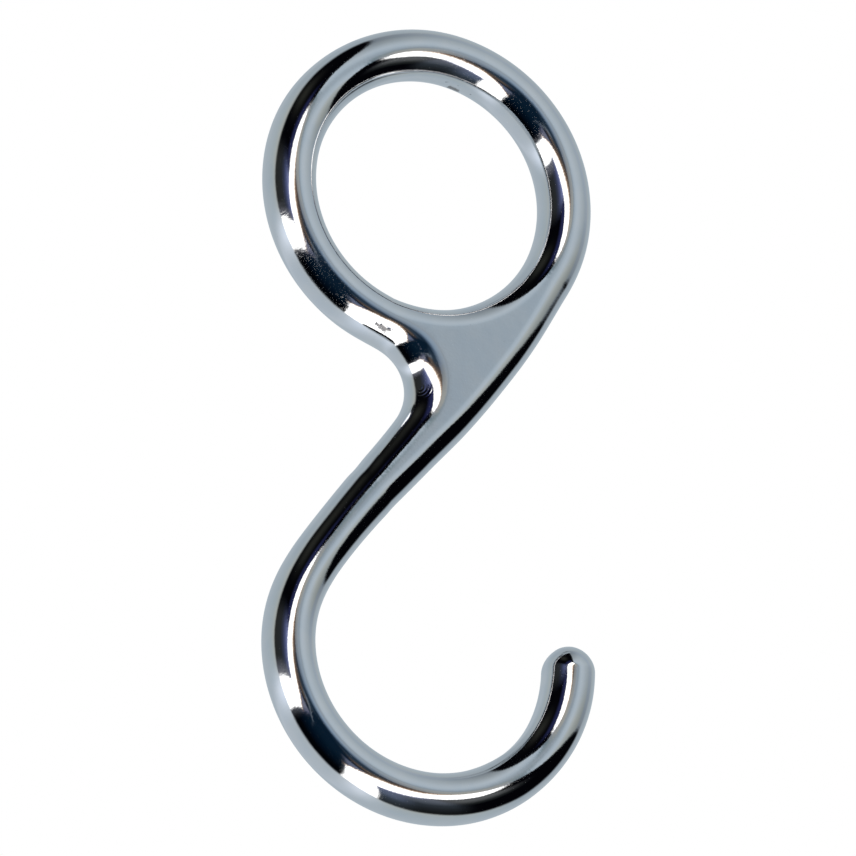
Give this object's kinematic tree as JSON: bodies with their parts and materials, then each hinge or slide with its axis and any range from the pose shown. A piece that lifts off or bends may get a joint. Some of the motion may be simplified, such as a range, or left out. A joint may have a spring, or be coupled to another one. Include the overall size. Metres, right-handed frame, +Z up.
{
  "type": "s hook",
  "caption": "Chrome-plated cast S hook: a closed round ring slides on a rail, a flat web joins it to a stem, and an open J-shaped bowl below takes a handle or loop.",
  "frame": {"origin": "centre of the closed ring, in the hook's middle plane", "axes": "+Z up, from the bowl towards the ring, as it hangs; +X towards the open side of the bowl, where the tip is; +Y through the ring along the rail, so that the front faces -Y"},
  "size_m": [0.0336, 0.0058, 0.0801],
  "materials": {
    "chrome_plate": "bright polished chrome plate on a smooth casting, with faint ripples and a few small pits"
  },
  "bodies": {
    "root": {"s_hook": "chrome_plate"}
  },
  "joints": []
}
